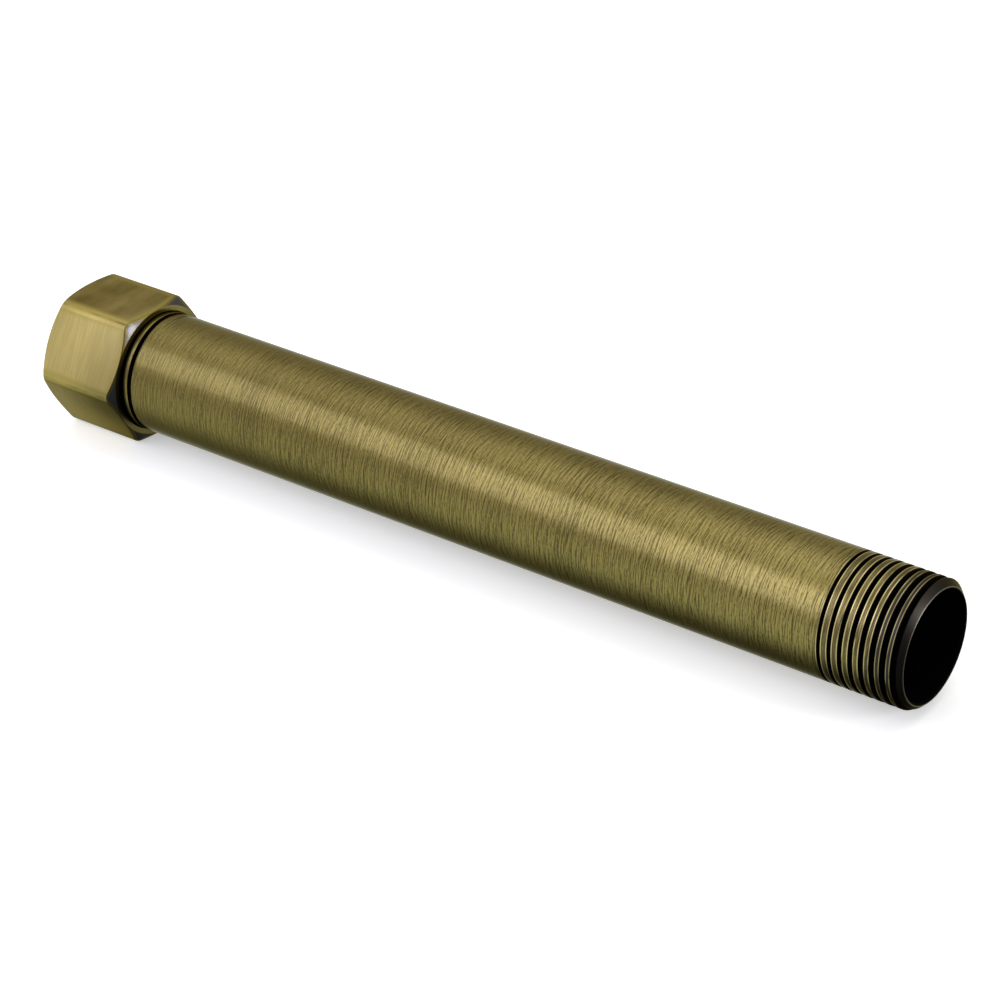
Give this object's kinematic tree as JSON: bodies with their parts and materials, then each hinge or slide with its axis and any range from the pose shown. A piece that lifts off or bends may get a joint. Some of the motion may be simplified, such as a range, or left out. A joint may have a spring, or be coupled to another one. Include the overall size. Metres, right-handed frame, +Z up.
{
  "type": "shower arm extension",
  "caption": "Straight brass pipe with a male thread at its outlet and a hexagonal female coupling screwed onto its inlet, used to set a shower head further out from its arm.",
  "frame": {"origin": "centre of the bounding box's footprint, on the plane that the coupling's lowest flat lies on", "axes": "+X along the pipe towards the outlet thread, +Z up and square to the coupling's lowest flat, -Y the side the picture shows"},
  "size_m": [0.1682, 0.026, 0.023],
  "materials": {
    "tube_brass": "aged brass, brushed around the pipe, clear lacquer, thread grooves dark",
    "coupling_brass": "aged brass, lighter than the pipe, flats brushed across, corners rubbed bright"
  },
  "bodies": {
    "root": {"extension_tube": "tube_brass", "hex_coupling": "coupling_brass"}
  },
  "joints": []
}
